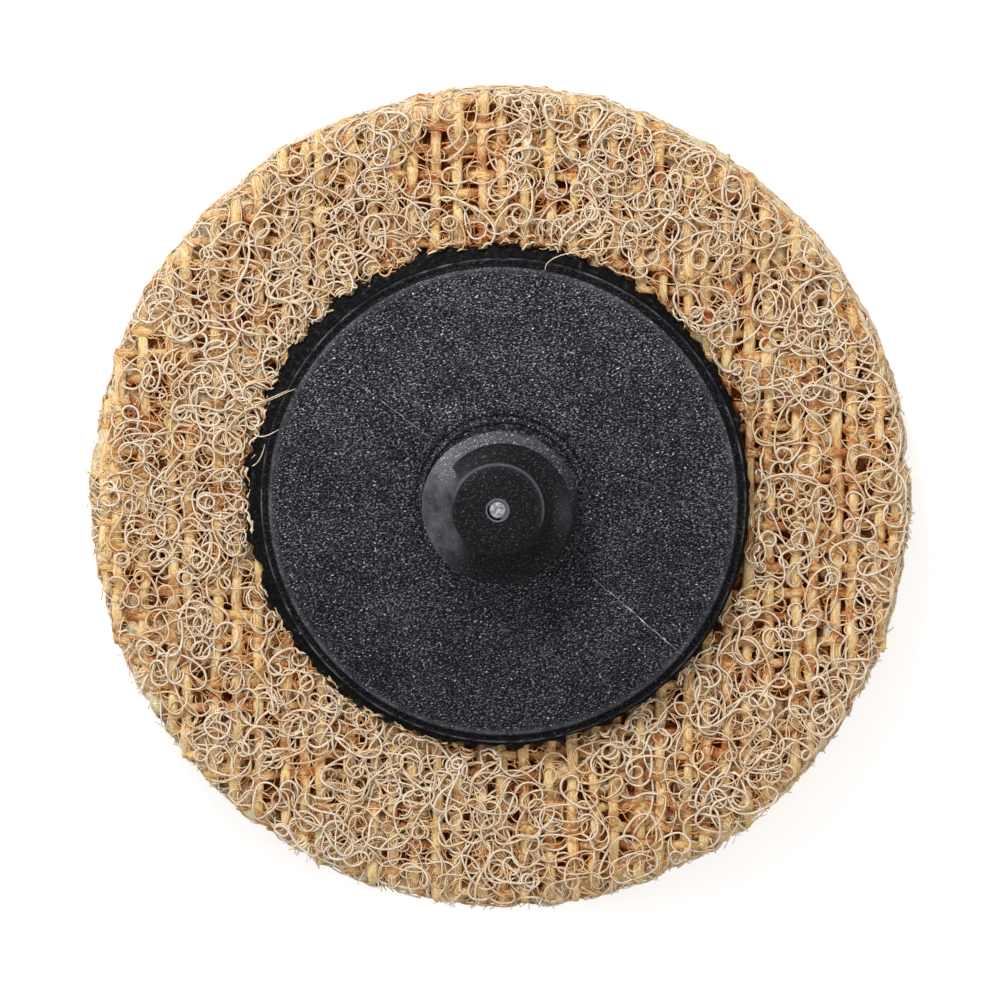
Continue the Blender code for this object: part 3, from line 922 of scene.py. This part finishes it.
def studWall(angle, height, foot, shoulder, lowest, highest):
    # Radius of the stud's wall: a straight taper, plus a ridge that runs down a right-hand helix.
    # Across the ridge the rise is 1 - |place| to a power, and its crest swells from its start as a
    # smooth step, narrows after one turn and partly widens again. Also how many turns down the thread
    # each point of a ridge lies, or 0, and how far it stands above the taper.
    core = button["studBase"] + (height - foot) / (shoulder - foot) * (button["studTip"] - button["studBase"])
    turns = (highest - lowest) / button["threadPitch"]
    radius = core.copy()
    turnsDown = np.zeros_like(core)
    for wind in range(-1, 3):
        turn = (button["startAngle"] - angle) / fullTurn + wind
        middle = highest - button["threadPitch"] * turn
        widened = eased(turn, 0, button["wideningTurns"])
        crest = button["threadStart"] + (button["threadCrest"] - button["threadStart"]) * widened
        narrowed = eased(turn, 0.90, 1.12) * (1 - 0.7 * eased(turn, 1.18, 1.38))
        crest = crest - button["lowerNarrowing"] * narrowed
        place = np.clip(np.abs(height - middle) / button["threadHalfWidth"], 0, 1)
        present = eased(turn, -0.006, 0.006) * (1 - eased(turn, turns - 0.006, turns + 0.006))
        ridge = (crest - core) * (1 - place ** button["threadRoundness"]) * present
        turnsDown = np.where(core + ridge > radius, turn, turnsDown)
        radius = np.maximum(radius, core + ridge)
    return radius, turnsDown, radius - core


def makeButton(material, nubMaterial):
    # Rings from the tip's middle outwards, down the stud, out over the collar and plate, down its
    # edge and ledge, and back in underneath.
    columns = button["segments"]
    angle = anglesRound(columns)[None, :]
    gate = button["gateRadius"]
    nub = button["nubRadius"]
    tip = buttonHigh[2] - button["nubProud"]
    foot = plateTop + button["collarHeight"]
    shoulder = tip - button["tipCrown"] - button["tipRound"]
    highest = shoulder - button["threadHalfWidth"]
    lowest = foot + button["threadHalfWidth"] / 2

    def ring(radius, height):
        return np.full((1, columns), radius), np.full((1, columns), height)

    def arc(centreRadius, centreHeight, reach, fromDegrees, toDegrees, steps):
        turn = np.radians(np.linspace(fromDegrees, toDegrees, steps))[:, None]
        ones = np.ones((1, columns))
        return (centreRadius + reach * np.cos(turn)) * ones, (centreHeight + reach * np.sin(turn)) * ones

    # The gap round the gate mark is shallow but for its lower left.
    lowerLeft = eased(np.cos(angle - math.radians(225)), 0.1, 0.8)
    gateFloor = tip - button["gateDepth"] * (0.15 + 0.85 * lowerLeft)
    tipFlat = button["studTip"] - button["tipRound"]
    crownStart = tipFlat + button["tipRound"] * math.cos(math.radians(70))
    crownBase = shoulder + button["tipRound"] * math.sin(math.radians(70))
    crownShare = np.linspace(0, 1, 9)[1:-1, None]
    crownRadius = gate + 0.16 * mm + crownShare * (crownStart - gate - 0.16 * mm)
    crownHeight = tip - (tip - crownBase) * crownShare ** 1.6
    wallHeight = np.linspace(shoulder, foot, button["wallRows"])[:, None] * np.ones((1, columns))
    wallAngle = angle * np.ones_like(wallHeight)
    wallRadius, turnsDown, stands = studWall(wallAngle, wallHeight, foot, shoulder, lowest, highest)
    collar = button["collarRadius"]
    plate = button["plateRadius"]
    edgeRound = button["edgeRound"]
    bottom = buttonLow[2]
    ledgeTop = bottom + button["ledgeThickness"]
    nubRings = 4
    stages = [
        ring(0.06 * mm, tip + button["nubProud"]),
        ring(nub - 0.12 * mm, tip + button["nubProud"] - 0.02 * mm),
        ring(nub - 0.02 * mm, tip + button["nubProud"] - 0.08 * mm),
        ring(nub, tip - 0.06 * mm),
        ring(nub + 0.03 * mm, gateFloor),
        ring(gate - 0.03 * mm, gateFloor),
        ring(gate, gateFloor + 0.05 * mm),
        ring(gate + 0.02 * mm, tip - 0.03 * mm),
        ring(gate + 0.07 * mm, tip),
        ring(gate + 0.16 * mm, tip),
        (crownRadius * np.ones((1, columns)), crownHeight * np.ones((1, columns))),
        arc(tipFlat, shoulder, button["tipRound"], 70, 8, 6),
        (wallRadius, wallHeight),
        ring(collar - 0.28 * mm, foot),
        ring(collar - 0.20 * mm, foot - 0.02 * mm),
        arc(collar - 0.14 * mm, foot - 0.14 * mm, 0.14 * mm, 80, 0, 4),
        ring(collar + 0.01 * mm, plateTop + 0.05 * mm),
        *[ring(collar + out * mm, plateTop) for out in (0.06, 0.18, 0.28, 0.38, 0.5)],
        ring(0.5 * (collar + plate), plateTop),
        ring(plate - edgeRound - 0.3 * mm, plateTop),
        arc(plate - edgeRound, plateTop - edgeRound, edgeRound, 85, 0, 6),
        ring(plate, ledgeTop + 0.06 * mm),
        ring(plate + 0.05 * mm, ledgeTop),
        ring(plate + 0.17 * mm, ledgeTop),
        ring(ledgeRadius - 0.16 * mm, ledgeTop),
        arc(ledgeRadius - 0.08 * mm, ledgeTop - 0.08 * mm, 0.08 * mm, 85, 0, 4),
        ring(ledgeRadius, bottom + 0.04 * mm),
        ring(ledgeRadius - 0.04 * mm, bottom),
        ring(0.5 * ledgeRadius, bottom),
        ring(0.3 * mm, bottom),
    ]
    radius = np.concatenate([stage[0] for stage in stages])
    height = np.concatenate([stage[1] for stage in stages])
    around = angle * np.ones_like(height)
    belowFoot = eased(foot + 0.15 * mm - height, 0.0, 0.1 * mm)
    across = radius * np.sin(around)
    # The plate's glints grow towards its upper edge: painted light from the lamp above it.
    plateGlints = belowFoot * (0.60 + 0.50 * eased(across, -plate, plate))
    frostAndGlints = np.where(radius > plate - 0.02 * mm, 0.15, plateGlints)
    # The stud is dark and smooth at the top and lighter on a patch to the right. Painted light on it: its
    # left side is greyer as a painted reflection, and the textured crest of the thread's lower turn carries
    # painted glints.
    wallPlace = [stage[0] is wallRadius for stage in stages].index(True)
    wallStart = sum(len(stage[0]) for stage in stages[:wallPlace])

    def onWall(values):
        whole = np.zeros_like(radius)
        whole[wallStart:wallStart + len(values)] = values
        return whole

    down = onWall(turnsDown)
    onRidge = onWall(eased(stands, 0.02 * mm, 0.35 * mm))
    leftFlankSheen = onWall(eased(np.cos(wallAngle - math.radians(184)), 0.40, 0.98))
    patch = bell(down, 0.40, 0.045) * eased(radius, 3.2 * mm, 3.8 * mm)
    crestGlints = eased(down, 0.92, 1.00) * (1 - 0.85 * eased(down, 1.28, 1.45)) * onRidge
    # Painted light: the crest's glints are strongest towards the upper left, where the lamps stand.
    crestGlints = crestGlints * (0.6 + 0.4 * np.cos(around - math.radians(115)))
    frostAndGlints = np.maximum(frostAndGlints, crestGlints)
    mottled = roughNoise(radius * np.cos(around) / (0.6 * mm) + 90, across / (0.6 * mm) + 90, 33)
    leftFlankSheen = leftFlankSheen * (0.35 + 1.1 * mottled)
    toneAndSheen = 0.07 * (1 - belowFoot) + 0.02 + 0.62 * leftFlankSheen + 0.36 * patch + 0.52 * crestGlints
    # Painted highlights in lines, streaky along their way: on the tip's edge on its upper side, on the
    # thread's crest on the left, and on the edges of plate and ledge.
    streaks = np.clip(3.0 * noiseAround(around, 45, 23) - 0.9, 0.15, 1.3)
    litUpperSide = eased(np.cos(around - math.radians(75)), -0.4, 0.2)
    tipEdgeHighlight = bell(radius, button["studTip"] - 0.06 * mm, 0.10 * mm)
    toneAndSheen = toneAndSheen + 0.65 * tipEdgeHighlight * litUpperSide * (height > shoulder - 0.2 * mm)
    crestHighlight = eased(radius, button["threadCrest"] - 0.12 * mm, button["threadCrest"] - 0.02 * mm)
    toneAndSheen = toneAndSheen + 0.30 * crestHighlight * leftFlankSheen
    plateEdgeGlint = bell(radius, plate - 0.15 * mm, 0.18 * mm) * (height > plateTop - edgeRound)
    ledgeEdgeGlint = bell(radius, ledgeRadius - 0.05 * mm, 0.06 * mm) * (height > bottom + 0.3 * mm)
    toneAndSheen = np.clip(toneAndSheen + (0.38 + 0.22 * streaks) * plateEdgeGlint + 0.72 * streaks * ledgeEdgeGlint, 0, 0.84)
    gateRing = bell(radius, gate + 0.05 * mm, 0.07 * mm) * (height > tip - 0.04 * mm)
    toneAndSheen = np.maximum(toneAndSheen, gateRing)
    # Painted light in the gap round the gate mark, left dark on its lower left as painted shade.
    gateGap = (radius > nub - 0.01 * mm) * (radius < gate + 0.01 * mm)
    toneAndSheen = np.maximum(toneAndSheen, 0.80 * gateGap * (1 - lowerLeft) * (height > tip - 0.3 * mm))
    frostAndGlints = frostAndGlints * (1 - 0.5 * plateEdgeGlint)
    # Painted shadow lines: under the plate's edge, and two round the collar, most on its upper left.
    plateEdgeShadow = bell(radius, plate + 0.05 * mm, 0.09 * mm) * (height < ledgeTop + 0.1 * mm)
    upperLeft = eased(np.cos(around - math.radians(105)), -0.3, 0.5)
    collarTopShadow = bell(radius, collar - 0.20 * mm, 0.10 * mm) * belowFoot * (0.4 + 0.6 * upperLeft)
    collarFootShadow = bell(radius, collar + 0.28 * mm, 0.09 * mm) * belowFoot * upperLeft
    plain = 1 - np.clip(plateEdgeShadow + collarTopShadow + collarFootShadow, 0, 1)
    toneAndSheen = toneAndSheen * plain
    frostAndGlints = frostAndGlints * plain
    rows = len(radius)
    faceMaterial = np.zeros((rows - 1) * columns + 2)
    faceMaterial[:(nubRings - 1) * columns] = 1
    faceMaterial[-2] = 1
    piece = turnedPiece("moulded_button", radius, height, [material, nubMaterial], faceMaterial,
                        {"frostAndGlints": frostAndGlints, "toneAndSheen": toneAndSheen})
    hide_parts("threaded_button")
    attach(piece, "root")


# Small marks

scratches = {
    "lines": [  # from, to in the photograph, then half width
        ((592, 577), (684, 656), 0.055 * mm),
        ((345, 374), (431, 438), 0.028 * mm),
    ],
    "steps": 60,
}


def makeScratches(material):
    # Two thin burrs on the plate: ragged tubes, sunk to their middle, along lines that tremble.
    rng = np.random.default_rng(77)
    share = np.linspace(0, 1, scratches["steps"])
    paths = []
    widths = []
    for first, last, halfWidth in scratches["lines"]:
        start = np.array(photoPlace(*first))
        end = np.array(photoPlace(*last))
        tremble = 0.07 * mm * (softNoise(share * 14, np.full_like(share, rng.random() * 9), 3) - 0.5)
        ahead = (end - start) / np.linalg.norm(end - start)
        side = np.array([-ahead[1], ahead[0]])
        flat = start[None] + share[:, None] * (end - start)[None] + tremble[:, None] * side[None]
        paths.append(np.column_stack([flat, np.full(len(share), plateTop)]))
        ragged = np.clip(2.2 * softNoise(share * 24, share * 0 + halfWidth / mm * 50, 4) - 0.5, 0.30, 1.2)
        ends = np.sin(math.pi * np.clip(share, 0.01, 0.99)) ** 0.4 * (1.1 - 0.4 * share)
        widths.append(halfWidth * ends * ragged)
    points, quads, caps = carriedTubes(np.array(paths), np.array(widths), 5)
    piece = makePiece("plate_burrs", points, [quads, caps], [material])
    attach(piece, "root")


strays = {
    # Fibres that cross the glue and the plate's edge: pixels of the photograph with heights over the cloth.
    "paths": [
        [(630, 247, 0.2), (604, 248, 1.0), (575, 253, 1.5), (554, 257, 2.05), (545, 270, 2.1)],
        [(246, 410, 0.1), (262, 404, 0.7), (276, 399, 1.2), (286, 393, 1.5), (295, 390, 1.6)],
        [(250, 406, 0.1), (264, 402, 0.9), (277, 396, 1.3), (288, 391, 1.6)],
        [(252, 437, 0.4), (262, 438, 1.3), (272, 434, 1.65), (281, 429, 1.7)],
        [(243, 470, 0.2), (256, 464, 1.0), (262, 452, 1.3), (264, 446, 1.5)],
        [(296, 640, 0.3), (300, 632, 1.1), (303, 620, 1.5), (307, 612, 1.6)],
    ],
    "steps": 30,
    "radius": 0.055 * mm,
}


def makeStrays(material):
    # Each path is a cubic fitted to its few points, by its running share, and thins evenly.
    share = np.linspace(0, 1, strays["steps"])
    paths = []
    for places in strays["paths"]:
        spots = [[*photoPlace(column, row), scrimHigh[2] + lift * mm] for column, row, lift in places]
        spots = np.array(spots)
        powers = np.linspace(0, 1, len(places))
        fitted = [np.polyval(np.polyfit(powers, spots[:, axis], 3), share) for axis in range(3)]
        paths.append(np.column_stack(fitted))
    radii = np.full((len(paths), len(share)), strays["radius"]) * (1 - 0.65 * share[None])
    layFibres("stray_fibres", np.array(paths), radii, np.full(radii.shape, 0.6), material, sides=5)


# Stage

studio = {
    "towardsCamera": (0.050, 0.085, 1.0),
    "distance": 0.60,
    "sensor": 36.0,
    "ambient": 0.45,
    "floorSize": 1.6,
    "floorGlow": 0.50,
}


def rayIsOneOf(tree, kinds):
    path = tree.nodes.new("ShaderNodeLightPath")
    seen = path.outputs[kinds[0]]
    for kind in kinds[1:]:
        seen = combined(tree, "MAXIMUM", seen, path.outputs[kind])
    return seen


def makeStage():
    # White floor: plain white paint that also shows as white to the camera, so it keeps the shadow.
    half = studio["floorSize"] / 2
    corners = np.array([[-half, -half, 0], [half, -half, 0], [half, half, 0], [-half, half, 0]])
    material, tree, shader = newMaterial("white paper", 0.9, 0.1)
    shader.inputs["Base Color"].default_value = (0.9, 0.9, 0.9, 1)
    shader.inputs["Emission Color"].default_value = (1, 1, 1, 1)
    seen = rayIsOneOf(tree, ("Is Camera Ray", "Is Glossy Ray"))
    glow = combined(tree, "MULTIPLY", seen, studio["floorGlow"])
    tree.links.new(glow, shader.inputs["Emission Strength"])
    floor = makePiece("floor", corners, [np.array([[0, 1, 2, 3]])], [material])

    world = bpy.data.worlds.new("white studio")
    bpy.context.scene.world = world
    world.use_nodes = True
    tree = world.node_tree
    background = tree.nodes["Background"]
    background.inputs["Color"].default_value = (1, 1, 1, 1)
    seen = rayIsOneOf(tree, ("Is Camera Ray", "Is Glossy Ray", "Is Transmission Ray"))
    level = tree.nodes.new("ShaderNodeMapRange")
    level.inputs["To Min"].default_value = studio["ambient"]
    level.inputs["To Max"].default_value = 1.0
    tree.links.new(seen, level.inputs["Value"])
    tree.links.new(level.outputs["Result"], background.inputs["Strength"])


lamps = [  # place, size, power: soft boxes above the top edge and at both sides
    ((-0.07, 0.20, 0.20), 0.09, 0.56),
    ((-0.40, 0.05, 0.24), 0.20, 0.56),
    ((0.38, -0.04, 0.30), 0.20, 0.47),
]


def makeLamps():
    for number, (place, size, power) in enumerate(lamps):
        light = bpy.data.lights.new(f"soft box {number + 1}", "AREA")
        light.size = size
        light.energy = power
        lamp = bpy.data.objects.new(light.name, light)
        lamp.location = place
        lamp.rotation_mode = "QUATERNION"
        lamp.rotation_quaternion = (-Vector(place)).to_track_quat("-Z", "Y")
        bpy.context.scene.collection.objects.link(lamp)


def makeCamera():
    # Looks almost straight down, with +Y up the picture, framed as the photograph.
    back = Vector(studio["towardsCamera"]).normalized()
    upward = (Vector((0, 1, 0)) - back * back.y).normalized()
    right = upward.cross(back)
    middle = photo["width"] / 2
    aim = Vector((*photoPlace(middle, middle), plateTop))
    data = bpy.data.cameras.new("camera")
    data.sensor_width = studio["sensor"]
    data.lens = studio["sensor"] * studio["distance"] / (photo["width"] * photo["mmPerPixel"] * mm)
    data.clip_start = 0.05
    camera = bpy.data.objects.new("camera", data)
    turn = Matrix((right, upward, back)).transposed()
    camera.matrix_world = Matrix.Translation(aim + back * studio["distance"]) @ turn.to_4x4()
    bpy.context.scene.collection.objects.link(camera)
    bpy.context.scene.camera = camera


bpy.context.scene.view_settings.view_transform = "Standard"
makeCamera()
makeLamps()
makeStage()
print("camera, lamps and floor are in place")

warpColours = [
    (0.36, (0.48, 0.20, 0.06)), (0.46, (0.77, 0.48, 0.185)),
    (0.54, (0.93, 0.69, 0.33)), (0.66, (0.97, 0.86, 0.57)),
]
weftColours = [
    (0.36, (0.38, 0.15, 0.045)), (0.46, (0.68, 0.36, 0.125)),
    (0.54, (0.88, 0.59, 0.26)), (0.66, (0.98, 0.80, 0.46)),
]
warpMaterial = yarnMaterial("warp yarn", (0.11 * mm, 0.9 * mm, 0.11 * mm), warpColours)
weftMaterial = yarnMaterial("weft yarn", (0.9 * mm, 0.11 * mm, 0.11 * mm), weftColours)
makeScrim(warpMaterial, weftMaterial)
makeWeb(webMaterial())
paleMaterial = fibreMaterial("pale curled fibre", [
    (0.0, (0.56, 0.24, 0.07)), (0.28, (0.80, 0.52, 0.27)),
    (0.52, (0.87, 0.72, 0.52)), (0.90, (0.90, 0.82, 0.69)),
], 0.6, 0.05)
tanMaterial = fibreMaterial("tan needled fibre", [
    (0.0, (0.50, 0.12, 0.028)), (0.4, (0.90, 0.48, 0.18)), (0.9, (0.97, 0.81, 0.50)),
], 0.7, 0.02)
for part in range(len(paleFibres["names"])):
    makeCurledFibres(paleFibres, part, paleMaterial)
makeCurledFibres(tanFibres, 0, tanMaterial)
makeCurledFibres(lint, 0, tanMaterial)
makeRimFibres(paleMaterial)
makeRimTufts(paleMaterial)
makeUnderFibres(tanMaterial)
print("cloth, web and fibres are laid")

makeGlue(grainedMaterial("set black adhesive", 0.35 * mm, [
    (0.45, (0.0010, 0.0008, 0.0010)), (0.58, (0.004, 0.0035, 0.004)), (0.74, (0.05, 0.045, 0.045)),
], 0.42, 0.06, 0.2 * mm))
makeButton(frostedPlasticMaterial(), grainedMaterial("torn gate", 0.2 * mm, [
    (0.36, (0.12, 0.12, 0.13)), (0.52, (0.34, 0.34, 0.36)), (0.66, (0.62, 0.62, 0.65)),
], 0.5, 0.2, 0.05 * mm))
makeScratches(grainedMaterial("raised burr", 0.3 * mm, [
    (0.38, (0.16, 0.16, 0.17)), (0.62, (0.60, 0.60, 0.62)),
], 0.5, 0.3, 0.03 * mm))
makeStrays(paleMaterial)
print(f"glue and button are in place; {sum(triangleCounts)} triangles in all")
